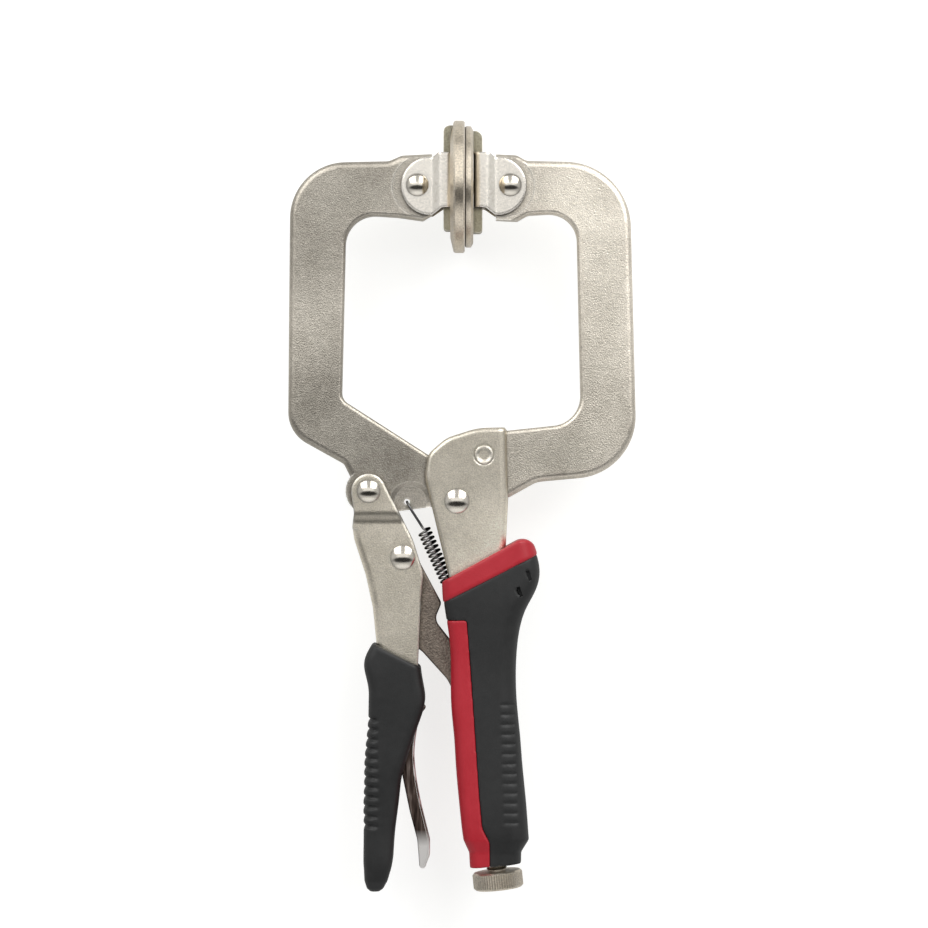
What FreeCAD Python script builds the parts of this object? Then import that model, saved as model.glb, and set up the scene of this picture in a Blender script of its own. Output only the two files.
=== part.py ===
import FreeCAD, Part
import math
import os

# Locking face clamp, lying flat on its back.
# Lengths are in mm. +X runs from the moving jaw to the fixed jaw, +Y from the handles to the pads, +Z up.
# The sub-parts are drawn round the main pivot and moved to the part's own frame when they are written.

# The main pivot's place over the middle of the footprint; its height is the larger pad's radius
pivot_x = -1.685
pivot_y = 1.585

# The linkage pivots, from the main pivot
lever_pivot = (-29.8, 3.4)
link_pivot = (-18.3, -18.96)
foot_pivot = (8.8, -79.2)

# Clearances
running = 0.05
plate_gap = 0.1
grip_groove = 0.7

# Sheet and plate thicknesses
fixed_jaw_thick = 7.2
moving_jaw_thick = fixed_jaw_thick - 2 * plate_gap
cheek_sheet = 2.2
lever_sheet = 1.8
bracket_sheet = 1.6
link_thick = 5.0
release_width = 5.0
release_sheet = 1.0

# Half widths across the thickness
cheek_in = fixed_jaw_thick / 2
cheek_out = cheek_in + cheek_sheet
ear_in = moving_jaw_thick / 2 + 2 * plate_gap
ear_out = ear_in + lever_sheet
flange_in = link_thick / 2 + 2 * plate_gap
flange_out = flange_in + lever_sheet
bracket_in = fixed_jaw_thick / 2 + plate_gap
bracket_out = bracket_in + bracket_sheet

# Edge rounding of the jaws, and the round flats coined on their ends
outer_round = 2.2
inner_round = 1.3
coin_radius = 10.4
coin_depth = 0.3

# Main pivot and the other rivets
jaw_boss = 7.9
lever_boss = 7.8
lever_ear = 5.8
joggle_top = -4.1
joggle_foot = -6.9
joggle_bend = 4.5
pivot_shank = 2.9
pivot_head = 4.1
lever_shank = 2.4
lever_head = 3.9
link_shank = 2.4
link_head = 4.1
head_height = 1.9
pin_place = (9.1, 15.6)
pin_radius = 3.2
pin_rim = 0.75
pin_proud = 0.25

# Spring
spring_hole = (-16.9, -0.3)
spring_hole_radius = 1.0
spring_top = (-11.2, -9.8)
spring_end = (4.0, -42.9)
coil_radius = 2.25
wire_radius = 0.45
coil_turns = 23
anchor_place = (6.0, -48.2)
anchor_radius = 1.2

# Pads, their brackets and studs
bracket_height = 106.6
pad_drop = 0.3
pad_height = bracket_height - pad_drop
left_pad_radius = 22.35
right_pad_radius = 20.5
left_hub = 15.6
hub_room = 0.6
cone_start = (0.2, 0.4)
cone_end = (1.3, 5.0)
web_top = 10.9
web_bottom = 7.6
bend_inside = 1.4
bend_outside = 2.2
left_bar = 2.0
right_bar = 1.4
closing_line = 2.66
pad_slip = 0.04
left_face = closing_line - pad_slip / 2
right_face = closing_line + pad_slip / 2
left_web = -0.95
right_web = 5.6
bracket_rivet = 12.4
bracket_shank = 2.4
bracket_head = 3.75
ear_radius = 9.3
ear_drop = 0.8
stud_radius = 2.2

# Adjusting screw
screw_tilt = 5.9
thread_radius = 2.9
neck_radius = 3.5
knob_radius = 8.45
knob_length = 5.9
knob_start = 46.2
screw_tip = 7.1
knurl_count = 60

# Release lever
release_pivot = (-17.7, -73.9)
release_pin = 1.3

# Grips
grip_ribs = 13
rib_depth = 0.45

# Threaded block in the end of the handle channel
nut_left = 5.3
nut_bottom = -119.2
nut_top = -104.0


def vec(x, y, z=0.0):
    return FreeCAD.Vector(x, y, z)


def outline(corners):
    # Closed wire through corners (x, y, corner radius), each rounded by an arc
    points = []
    count = len(corners)
    for i in range(count):
        p = vec(corners[i][0], corners[i][1])
        before = vec(corners[i - 1][0], corners[i - 1][1])
        after = vec(corners[(i + 1) % count][0], corners[(i + 1) % count][1])
        radius = corners[i][2] if len(corners[i]) > 2 else 0.0
        u = (before - p).normalize()
        w = (after - p).normalize()
        half = u.getAngle(w) / 2
        if radius <= 0 or half > math.pi / 2 - 0.003:
            points.append((p, None, p))
            continue
        reach = radius / math.tan(half)
        middle = (u + w).normalize()
        nearest = radius / math.sin(half) - radius
        points.append((p + u * reach, p + middle * nearest, p + w * reach))
    edges = []
    for i in range(count):
        start, middle, end = points[i]
        if middle is not None:
            edges.append(Part.Arc(start, middle, end).toShape())
        following = points[(i + 1) % count][0]
        if (following - end).Length > 0.001:
            edges.append(Part.makeLine(end, following))
    return Part.Wire(edges)


def plate(corners, low, high):
    # Flat plate with that outline between two heights
    face = Part.Face(outline(corners))
    face.translate(vec(0, 0, low))
    return face.extrude(vec(0, 0, high - low))


def post(place, radius, low, high):
    return Part.makeCylinder(radius, high - low, vec(place[0], place[1], low))


def box(x0, x1, y0, y1, z0, z1):
    return Part.makeBox(x1 - x0, y1 - y0, z1 - z0, vec(x0, y0, z0))


def face_edges(shape, height, wanted):
    # Edges that lie at plus or minus that height and whose middle is wanted
    found = []
    for edge in shape.Edges:
        low = edge.valueAt(edge.FirstParameter)
        high = edge.valueAt(edge.LastParameter)
        middle = edge.valueAt((edge.FirstParameter + edge.LastParameter) / 2)
        flat = max(abs(abs(q.z) - height) for q in (low, middle, high))
        if flat < 1e-4 and wanted(middle.x, middle.y):
            found.append(edge)
    return found


def tidy(shape):
    # One clean solid
    shape = shape.removeSplitter()
    if shape.ShapeType == "Compound" and len(shape.Solids) == 1:
        return shape.Solids[0]
    return shape


def dome(place, base, radius, height, up=1):
    # Low domed rivet head with a short straight rim
    rim = 0.35
    ball = (radius ** 2 + (height - rim) ** 2) / (2 * (height - rim))
    cap = Part.makeSphere(ball, vec(place[0], place[1], rim + height - rim - ball))
    disc = post(place, radius, 0, height)
    head = disc.common(cap).fuse(post(place, radius, 0, rim))
    head = head.removeSplitter()
    if up < 0:
        head = head.mirror(vec(0, 0, 0), vec(0, 0, 1))
    head.translate(vec(0, 0, base * up))
    return head


def rivet(place, shank, head, seat):
    # Shank through the plates with a domed head on each side
    body = post(place, shank, -seat - 0.1, seat + 0.1)
    top = dome(place, seat, head, head_height)
    bottom = dome(place, seat, head, head_height, -1)
    return tidy(body.fuse([top, bottom]))


# Moving jaw: flat forging with rounded edges, from the pad over the lever pivot to the main pivot
def make_moving_jaw():
    half = moving_jaw_thick / 2
    tip = bracket_height
    corners = [
        (-8.4, tip + 10.7),
        (-18.6, tip + 10.2, 4),
        (-23.0, tip + 8.3, 4),
        (-56.3, tip + 7.6, 19.0),
        (-57.1, 23.0, 12),
        (-38.2, 12.5, 2.5),
        (-34.8, 5.6),
        (-30.0, -3.9),
        (-19.3, -3.4),
        (-8.5, -2.0),
        (-4.0, -6.0),
        (4.24, 6.67),
        (-38.9, 34.3, 4),
        (-37.4, tip - 9.6, 10),
        (-20.0, tip - 10.7, 6),
        (-11.5, tip - 11.9),
        (-8.4, tip - 10.0),
    ]
    body = plate(corners, -half, half)
    body = body.fuse([
        post(lever_pivot, lever_boss, -half, half),
        post((0, 0), jaw_boss, -half, half),
    ])
    body = tidy(body)
    outer = face_edges(body, half, lambda x, y: x < -46 or (y > tip and x < -12) or (x < -37 and y < 20))
    body = body.makeFillet(outer_round, outer)
    inner = face_edges(body, half, lambda x, y: x > -44 and 14 < y < tip - 6 and x < -9.5)
    body = body.makeFillet(inner_round, inner)
    coined = (-11.5, pad_height)
    coin = post(coined, coin_radius, half - coin_depth, half + 1)
    coin = coin.fuse(coin.mirror(vec(0, 0, 0), vec(0, 0, 1)))
    spot = Part.makeCone(5.4, 7.4, 1.0, vec(-15.6, -0.3, half - 0.8))
    spot_low = spot.mirror(vec(0, 0, 0), vec(0, 0, 1))
    holes = [
        coin,
        spot,
        spot_low,
        post((0, 0), pivot_shank + running, -half - 1, half + 1),
        post(lever_pivot, lever_shank + running, -half - 1, half + 1),
        post((left_web - bracket_rivet, bracket_height), bracket_shank, -half - 1, half + 1),
        post(spring_hole, spring_hole_radius, -half - 1, half + 1),
    ]
    return tidy(body.cut(holes))


# Fixed jaw: flat forging held in the head of the channel by a pin
def make_fixed_jaw():
    half = fixed_jaw_thick / 2
    clear = jaw_boss + 0.5
    tangent = (clear * 0.537, clear * 0.8436)
    tip = bracket_height
    corners = [
        (13.2, tip + 10.6),
        (20.2, tip + 10.3, 3),
        (23.5, tip + 8.4, 4),
        (58.3, tip + 7.7, 22.5),
        (60.9, 9.5, 21),
        (27.0, 6.4, 8),
        (17.6, 1.2),
        (clear, 1.0),
        (tangent[0], tangent[1]),
        (-6.6, 14.2),
        (-4.2, 19.6, 2),
        (6.0, 23.4, 10),
        (16.2, 23.7),
        (41.95, 26.4, 10),
        (40.4, tip - 9.1, 9.5),
        (24.0, tip - 10.0, 4),
        (20.5, tip - 12.0),
        (13.2, tip - 11.6),
    ]
    body = plate(corners, -half, half)
    outer = face_edges(body, half, lambda x, y: (y > tip and x > 18) or x > 50 or (x > 18 and y < 17))
    body = body.makeFillet(outer_round, outer)
    inner = face_edges(body, half, lambda x, y: 17 < x < 43 and 20 < y < tip - 6)
    body = body.makeFillet(inner_round, inner)
    sweep = post((0, 0), clear, -half - 1, half + 1)
    coined = (15.8, pad_height)
    coin = post(coined, coin_radius, half - coin_depth, half + 1)
    coin = coin.fuse(coin.mirror(vec(0, 0, 0), vec(0, 0, 1)))
    holes = [
        sweep,
        coin,
        post(pin_place, pin_radius, -half - 1, half + 1),
        post((right_web + bracket_rivet, bracket_height), bracket_shank, -half - 1, half + 1),
    ]
    return tidy(body.cut(holes))


# Outline of the handle channel: rounded head, sloping free edge on the left, folded spine on the right
channel_right = [(17.4, 2.0, 12), (16.3, -20.0, 12), (17.0, -60.0), (19.8, -119.0)]


def channel_block():
    corners = [
        (-10.9, 8.0, 9),
        (-9.8, 16.0, 6),
        (-3.4, 21.4, 10),
        (7.0, 24.7, 22),
        (16.9, 24.9),
    ]
    corners += channel_right
    corners += [(5.0, -120.4), (2.4, -88.0), (0.4, -62.0), (-2.4, -27.0), (-8.7, -1.0, 10)]
    block = plate(corners, -cheek_out, cheek_out)
    spine = face_edges(block, cheek_out, lambda x, y: x > 15.5 and -118 < y < 24.5)
    return block.makeFillet(3.0, spine)


def channel_room():
    # The space inside the channel, open on the left and at both ends
    inset = [(x - cheek_sheet, y) for x, y in [(17.4, 40.0), (17.4, 2.0), (16.3, -20.0), (17.0, -60.0), (20.0, -123.0)]]
    corners = [(-30.0, 40.0)] + inset + [(-30.0, -123.0)]
    room = plate(corners, -cheek_in, cheek_in)
    folds = face_edges(room, cheek_in, lambda x, y: x > 13.5 and -122 < y < 39)
    return room.makeFillet(0.9, folds)


def make_handle_channel():
    body = channel_block().cut(channel_room())
    window = box(12.0, 22.0, 0.9, 30.0, -cheek_in, cheek_in)
    holes = [
        window,
        post((0, 0), pivot_shank, -9, 9),
        post(pin_place, pin_radius, -9, 9),
        post(anchor_place, anchor_radius, -9, 9),
    ]
    body = tidy(body.cut(holes))
    edge = face_edges(body, cheek_out, lambda x, y: x < -2.5 and -26 < y < 5)
    body = body.makeChamfer(0.9, edge)
    arch = face_edges(body, cheek_out, lambda x, y: (x < -8 and y > 5) or (y > 18 and x < 14))
    return body.makeFillet(0.6, arch)


def make_jaw_fixing_pin():
    # A peened pin, its ends cupped inside a narrow raised rim
    end = cheek_out + pin_proud
    body = post(pin_place, pin_radius, -end, end)
    body = body.makeFillet(0.2, face_edges(body, end, lambda x, y: True))
    cup = Part.makeCone(pin_radius - pin_rim - 0.4, pin_radius - pin_rim, 0.4, vec(*pin_place, end - 0.4))
    return tidy(body.cut([cup, cup.mirror(vec(0, 0, 0), vec(0, 0, 1))]))


# Toggle link: rough forging from the lever's rivet to the end of the adjusting screw
def make_toggle_link():
    half = link_thick / 2
    corners = [
        (-20.0, -13.0, 3),
        (-15.9, -14.6, 3),
        (-5.2, -34.5, 2.0),
        (-7.6, -40.2, 4),
        (-2.4, -46.8, 3),
        (12.4, -77.0, 3),
        (12.1, -82.5, 3.2),
        (5.6, -82.5, 3.2),
        (4.6, -76.0, 4),
        (-3.3, -60.2, 8),
        (-11.6, -51.0, 5),
        (-20.0, -44.5, 6),
        (-24.4, -28.0, 8),
        (-24.4, -15.5, 5),
    ]
    body = plate(corners, -half, half)
    rims = face_edges(body, half, lambda x, y: True)
    body = body.makeFillet(0.7, rims)
    return tidy(body.cut(post(link_pivot, link_shank + running, -9, 9)))


# Lever channel: round ears over the jaw, stepped inwards to a narrower channel with its spine on the left
def lever_corners(inset=0.0):
    x0, y0 = lever_pivot
    return [
        (x0 - lever_ear + inset, 2.6),
        (-34.7 + inset, -4.0, 1.5),
        (-35.3 + inset, -8.6, 4),
        (-34.7 + inset, -13.0, 8),
        (-30.8 + inset, -25.0, 12),
        (-28.4 + inset, -36.0, 12),
        (-27.0 + inset, -50.0, 12),
        (-28.2 + inset, -90.0, 40),
        (-28.6 + inset, -124.0),
    ]


lever_right = [
    (-25.6, -124.0),
    (-23.4, -108.0),
    (-21.4, -95.0),
    (-18.2, -84.0, 8),
    (-14.6, -70.0, 8),
    (-13.2, -55.5, 12),
    (-12.2, -33.0, 12),
    (-11.4, -24.5, 9),
    (-15.0, -13.0, 25),
    (-24.9, 6.4),
]


def lever_silhouette(half):
    corners = lever_corners() + lever_right
    return plate(corners, -half, half).fuse(post(lever_pivot, lever_ear, -half, half)).removeSplitter()


def make_lever_channel():
    # Two side plates, each with a slanted step below the ear
    profile = outline([
        (30.0, ear_in),
        (30.0, ear_out),
        (joggle_top, ear_out, joggle_bend),
        (joggle_foot, flange_out, joggle_bend),
        (-140.0, flange_out),
        (-140.0, flange_in),
        (joggle_foot, flange_in, joggle_bend),
        (joggle_top, ear_in, joggle_bend),
    ])
    profile.rotate(vec(0, 0, 0), vec(1, 0, 0), 90)
    profile.rotate(vec(0, 0, 0), vec(0, 0, 1), 90)
    profile.translate(vec(-60, 0, 0))
    strip = Part.Face(profile).extrude(vec(60, 0, 0))
    sides = strip.fuse(strip.mirror(vec(0, 0, 0), vec(0, 0, 1)))
    cheeks = lever_silhouette(12).common(sides)
    # The folded spine joins them below the step
    block = lever_silhouette(flange_out)
    low = box(-60, 0, -140, -9.5, -12, 12)
    block = block.common(low).removeSplitter()
    folds = face_edges(block, flange_out, lambda x, y: x < -26.8 and -123.5 < y < -9.6)
    block = block.makeFillet(2.4, folds)
    room_corners = lever_corners(lever_sheet)
    room_corners[:3] = [(room_corners[2][0], 5.0)]
    room_corners[-1] = (room_corners[-1][0], -140.0)
    room_corners += [(20.0, -140.0), (20.0, 5.0)]
    room = plate(room_corners, -flange_in, flange_in)
    inner = face_edges(room, flange_in, lambda x, y: x < -24 and -139 < y < 4)
    room = room.makeFillet(0.7, inner)
    low_part = block.cut(room)
    high_part = cheeks.cut(box(-60, 0, -140, -9.5, -12, 12))
    body = tidy(high_part.fuse(low_part))
    holes = [
        post(lever_pivot, lever_shank, -12, 12),
        post(link_pivot, link_shank, -12, 12),
        post(release_pivot, release_pin, -12, 12),
    ]
    return tidy(body.cut(holes))


# Release lever: folded strip in the lever channel, its tail standing out between the handles
def make_release_lever():
    half = release_width / 2
    right = [
        (-14.0, -60.0, 1.5),
        (-12.8, -66.8, 2),
        (-10.4, -69.7, 0.6),
        (-12.6, -72.6, 2),
        (-14.7, -82.0, 10),
        (-14.2, -91.5, 20),
        (-12.4, -101.5, 20),
        (-9.1, -114.5, 4),
        (-9.1, -119.5, 3),
        (-11.4, -125.6, 1.0),
    ]
    left = [
        (-12.7, -123.2, 1),
        (-13.4, -114.5, 8),
        (-16.0, -104.6, 20),
        (-18.4, -93.0, 20),
        (-19.8, -80.0, 8),
        (-19.6, -70.0, 5),
        (-17.0, -59.6, 1.2),
    ]
    body = plate(right + left, -half, half)
    rims = face_edges(body, half, lambda x, y: x > -14.9 and y < -73)
    body = body.makeFillet(0.45, rims)
    hollow = [
        (-15.2, -58.0),
        (-14.0, -68.0),
        (-13.8, -74.0),
        (-15.8, -82.5, 10),
        (-15.3, -91.5, 20),
        (-13.5, -101.8, 20),
        (-11.2, -111.5, 2),
        (-16.0, -113.0),
        (-24.0, -96.0),
        (-24.0, -58.0),
    ]
    body = body.cut(plate(hollow, -half + release_sheet, half - release_sheet))
    return tidy(body.cut(post(release_pivot, release_pin + running, -9, 9)))


# Rounded rectangle across a handle: left and right edges, half height and the two corner radii
def grip_section(y, left, right, half, left_round, right_round):
    wire = outline([
        (left, -half, left_round),
        (right, -half, right_round),
        (right, half, right_round),
        (left, half, left_round),
    ])
    wire.rotate(vec(0, 0, 0), vec(1, 0, 0), 90)
    wire.translate(vec(0, y, 0))
    return wire


handle_sections = [
    (-6.0, -4.9, 24.8, 9.5, 3.0, 5.5),
    (-16.0, -4.9, 26.2, 9.8, 3.0, 5.5),
    (-24.5, -4.8, 27.9, 10.2, 3.0, 6.0),
    (-31.0, -4.6, 26.1, 10.4, 3.2, 6.0),
    (-38.0, -3.8, 22.6, 10.2, 3.2, 6.0),
    (-46.0, -2.6, 20.7, 9.8, 3.4, 6.0),
    (-60.0, -2.1, 19.9, 9.6, 3.6, 6.0),
    (-74.0, -1.5, 20.8, 9.8, 3.6, 6.0),
    (-90.0, -0.3, 22.2, 10.2, 3.6, 6.0),
    (-98.0, 0.4, 23.0, 10.3, 3.5, 6.0),
    (-106.0, 1.2, 23.7, 10.4, 3.4, 6.0),
    (-114.0, 2.2, 24.3, 10.3, 3.2, 6.0),
]
handle_end = [
    (-114.0, 2.2, 24.3, 10.3, 3.2, 6.0),
    (-118.2, 4.1, 21.7, 9.4, 3.0, 5.0),
    (-125.5, 4.5, 21.6, 9.2, 3.0, 5.0),
]


def handle_blank(inset=0.0):
    def wires(rows):
        out = []
        for y, left, right, half, left_round, right_round in rows:
            out.append(grip_section(y, left + inset, right - inset, half - inset,
                                    left_round - inset / 2, right_round - inset / 2))
        return out
    main = Part.makeLoft(wires(handle_sections), True, False)
    if inset:
        return main
    end = Part.makeLoft(wires(handle_end), True, True)
    cut_off = [(-5.0, -124.4), (30.0, -121.3), (30.0, -140.0), (-5.0, -140.0)]
    end = end.cut(plate(cut_off, -20, 20))
    return main.fuse(end).removeSplitter()


# Lines across the handle grip: top and foot of the collar, and the stripe's boundary
def collar_foot(x):
    return -31.6 + 0.51 * x


collar_corners = [
    (-5.4, -27.6, 2.5),
    (25.6, -10.8, 4.5),
    (26.9, collar_foot(26.9), 0.6),
    (-5.4, collar_foot(-5.4), 0.9),
]
below_collar = [(-20.0, collar_foot(-20.0)), (40.0, collar_foot(40.0)), (40.0, -140.0), (-20.0, -140.0)]
stripe_corners = [
    (-20.0, -40.0),
    (3.3, -40.0, 1.0),
    (4.4, -54.0, 20),
    (5.8, -74.0),
    (7.4, -98.0, 30),
    (8.5, -109.8, 6),
    (11.0, -114.6, 4),
    (11.3, -140.0),
    (-20.0, -140.0),
]


def handle_pocket():
    # Room for the channel, the slot the link swings in and the hole for the screw
    link_slot = box(-20, 6, -80, 10, -cheek_in, cheek_in)
    screw_hole = along_screw(neck_radius + 0.6, 38.0, 60.0)
    return channel_block().fuse([link_slot, screw_hole])


def handle_grooves():
    # Short shallow grooves in a row along each face of the handle grip
    bands = []
    for i in range(grip_ribs):
        y = -68.4 - 3.3 * i
        bands.append(box(14.6 - 0.03 * (y + 68.4), 19.4 - 0.03 * (y + 68.4), y - 0.55, y + 0.55, -20, 20))
    return Part.makeCompound(bands).cut(handle_blank(rib_depth))


def vent_slots():
    # Two small slanted slots near the top of the back
    cuts = []
    for x, y in ((24.0, -24.6), (20.6, -30.2)):
        slot = box(-0.45, 0.45, -1.4, 1.4, 8.6, 12)
        slot.rotate(vec(0, 0, 0), vec(0, 0, 1), 22)
        slot.translate(vec(x, y, 0))
        cuts += [slot, slot.mirror(vec(0, 0, 0), vec(0, 0, 1))]
    return cuts


def make_handle_grips():
    blank = handle_blank()
    pocket = handle_pocket()
    collar = blank.common(plate(collar_corners, -20, 20)).cut(pocket)
    lower = blank.common(plate(below_collar, -20, 20)).cut(pocket)
    stripe = lower.common(plate(stripe_corners, -20, 20))
    black = lower.cut(plate(stripe_corners, -20, 20))
    black = black.cut(handle_grooves()).cut(vent_slots())
    return tidy(collar), tidy(stripe), tidy(black)


# Lever grip: black sleeve with a slanted top, ridged on its outer edge
lever_sections = [
    (-44.0, -28.2, -12.4, 8.6, 3.0, 3.0),
    (-50.0, -29.7, -12.5, 8.8, 3.2, 3.0),
    (-55.5, -31.3, -12.3, 9.0, 3.4, 3.0),
    (-62.0, -30.0, -11.4, 9.0, 3.6, 3.0),
    (-69.0, -29.8, -11.0, 8.8, 3.6, 3.0),
    (-74.5, -30.0, -12.7, 8.6, 3.6, 3.0),
    (-81.5, -30.7, -15.2, 8.5, 3.6, 3.0),
    (-91.0, -31.3, -18.1, 8.4, 3.6, 3.2),
    (-100.0, -31.5, -19.5, 8.3, 3.6, 3.2),
    (-108.0, -31.5, -20.5, 8.1, 3.5, 3.1),
    (-116.0, -31.5, -21.3, 8.0, 3.4, 3.0),
    (-124.0, -31.4, -22.2, 7.8, 3.2, 2.8),
]
lever_end = [
    lever_sections[-1],
    (-128.0, -31.2, -23.4, 7.4, 3.0, 2.6),
    (-130.6, -30.4, -24.8, 6.2, 2.2, 2.0),
    (-131.7, -29.2, -26.2, 4.8, 1.2, 1.2),
]


def lever_blank(inset=0.0):
    def wires(rows):
        out = []
        for y, left, right, half, left_round, right_round in rows:
            out.append(grip_section(y, left + inset, right - inset, half - inset,
                                    left_round - inset / 2, right_round - inset / 2))
        return out
    main = Part.makeLoft(wires(lever_sections), True, False)
    if inset:
        return main
    end = Part.makeLoft(wires(lever_end), True, True)
    return main.fuse(end).removeSplitter()


def make_lever_grip():
    top_cut = [(-40.0, -41.8), (0.0, -62.0), (0.0, 0.0), (-40.0, 0.0)]
    blank = lever_blank().cut(plate(top_cut, -20, 20))
    top = [e for e in blank.Edges if on_top_cut(e)]
    blank = blank.makeFillet(1.3, top)
    hollow = lever_silhouette(flange_out).cut(box(-60, 0, -30, 30, -12, 12))
    folds = face_edges(hollow, flange_out, lambda x, y: x < -26.8 and -123.5 < y < -30.1)
    hollow = hollow.makeFillet(2.4, folds)
    slot = box(-24, 0, -104, -40, -flange_in, flange_in)
    bands = [box(-40, -26.6, -73.6 - 3.25 * i - 0.75, -73.6 - 3.25 * i + 0.75, -20, 20) for i in range(12)]
    grooves = Part.makeCompound(bands).cut(lever_blank(grip_groove))
    return tidy(blank.cut([hollow, slot]).cut(grooves))


def on_top_cut(edge):
    # Whether an edge lies in the slanted top of the lever grip
    for t in (edge.FirstParameter, (edge.FirstParameter + edge.LastParameter) / 2, edge.LastParameter):
        p = edge.valueAt(t)
        if abs(p.y - (-41.8 - 0.505 * (p.x + 40.0))) > 0.01:
            return False
    return True


# Adjusting screw, drawn along the line from the link's foot out of the handle's end
def screw_line():
    tilt = math.radians(screw_tilt)
    return vec(math.sin(tilt), -math.cos(tilt))


def along_screw(radius, start, stop):
    line = screw_line()
    base = vec(foot_pivot[0], foot_pivot[1]) + line * start
    return Part.makeCylinder(radius, stop - start, base, line)


def make_adjusting_screw():
    # Profile with the thread's last turns, turned about its own axis, then the knurled head
    root = thread_radius - 0.45
    profile = [(0, screw_tip), (1.9, screw_tip), (thread_radius, screw_tip + 0.9)]
    pitch = 1.25
    for i in range(5):
        at = screw_tip + 1.4 + pitch * i
        profile += [(thread_radius, at), (root, at + 0.5), (thread_radius, at + 1.0)]
    profile += [(thread_radius, 41.8), (neck_radius - 0.5, 41.8)]
    for i in range(3):
        at = 42.0 + 1.3 * i
        profile += [(neck_radius - 0.5, at), (neck_radius, at + 0.5), (neck_radius - 0.5, at + 1.0)]
    profile += [(neck_radius - 0.5, knob_start), (0, knob_start)]
    wire = Part.makePolygon([vec(r, 0, s) for r, s in profile + profile[:1]])
    shank = Part.Face(wire).revolve(vec(0, 0, 0), vec(0, 0, 1), 360)
    teeth = []
    for i in range(2 * knurl_count):
        angle = math.pi * i / knurl_count
        radius = knob_radius - 0.32 * (i % 2)
        teeth.append(vec(radius * math.cos(angle), radius * math.sin(angle), knob_start))
    knob = Part.Face(Part.makePolygon(teeth + teeth[:1])).extrude(vec(0, 0, knob_length))
    edge = 0.7
    side = [
        (0, knob_start),
        (knob_radius - edge, knob_start),
        (knob_radius + 0.01, knob_start + edge),
        (knob_radius + 0.01, knob_start + knob_length - edge),
        (knob_radius - edge, knob_start + knob_length),
        (0, knob_start + knob_length),
    ]
    wire = Part.makePolygon([vec(r, 0, s) for r, s in side + side[:1]])
    knob = knob.common(Part.Face(wire).revolve(vec(0, 0, 0), vec(0, 0, 1), 360))
    body = tidy(shank.fuse(knob))
    line = screw_line()
    body.Placement = FreeCAD.Placement(
        vec(foot_pivot[0], foot_pivot[1]), FreeCAD.Rotation(vec(0, 0, 1), line))
    return body


def make_handle_end_nut():
    block = channel_room().common(box(nut_left, 30, nut_bottom, nut_top, -9, 9))
    return tidy(block.cut(along_screw(thread_radius + running, 10, 60)))


# Pad bracket: sheet folded into a fork, its ears on the jaw and its web against the pad
def make_bracket(side):
    long = 17.8
    step_in = 7.5
    step_out = 4.7
    ear = bracket_out
    wide = bracket_out + bracket_sheet
    inner_wide = bracket_out
    path = [
        (long + 2, ear),
        (step_in, ear, 2.2),
        (step_out, wide, 2.2),
        (0, wide, bend_outside),
        (0, -wide, bend_outside),
        (step_out, -wide, 2.2),
        (step_in, -ear, 2.2),
        (long + 2, -ear),
        (long + 2, -bracket_in),
        (step_in + 0.4, -bracket_in, 2.0),
        (step_out + 0.4, -inner_wide, 2.0),
        (bracket_sheet, -inner_wide, bend_inside),
        (bracket_sheet, inner_wide, bend_inside),
        (step_out + 0.4, inner_wide, 2.0),
        (step_in + 0.4, bracket_in, 2.0),
        (long + 2, bracket_in),
    ]
    wire = outline(path)
    wire.rotate(vec(0, 0, 0), vec(1, 0, 0), 90)
    fold = Part.Face(wire).extrude(vec(0, 40, 0))
    fold.translate(vec(0, bracket_height - 20, 0))
    top = bracket_height + ear_radius
    bottom = bracket_height - ear_radius - ear_drop
    shape = [
        (long, top, ear_radius - 0.01),
        (7.3, top, 1.2),
        (5.3, bracket_height + web_top, 1.2),
        (-0.1, bracket_height + web_top),
        (-0.1, bracket_height - web_bottom),
        (3.9, bracket_height - web_bottom, 1.5),
        (7.3, bottom, 1.2),
        (long, bottom, ear_radius + ear_drop / 2),
    ]
    body = fold.common(plate(shape, -15, 15))
    body = body.cut(post((bracket_rivet, bracket_height), bracket_shank + running, -15, 15))
    stud = Part.makeCylinder(stud_radius, 8, vec(-2, pad_height, 0), vec(1, 0, 0))
    return place_side(tidy(body.cut(stud)), side)


def place_side(shape, side):
    # Pad pieces are drawn with the web face at zero and the ears towards +X
    if side == "left":
        shape = shape.mirror(vec(0, 0, 0), vec(1, 0, 0))
        shape.translate(vec(left_web, 0, 0))
        return shape
    shape.translate(vec(right_web, 0, 0))
    return shape


def turned(points):
    # Solid of revolution round the pad's own axis, from (along, radius) points
    wire = Part.makePolygon([vec(a, pad_height + r, 0) for a, r in points + points[:1]])
    return Part.Face(wire).revolve(vec(0, pad_height, 0), vec(1, 0, 0), 360)


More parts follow.
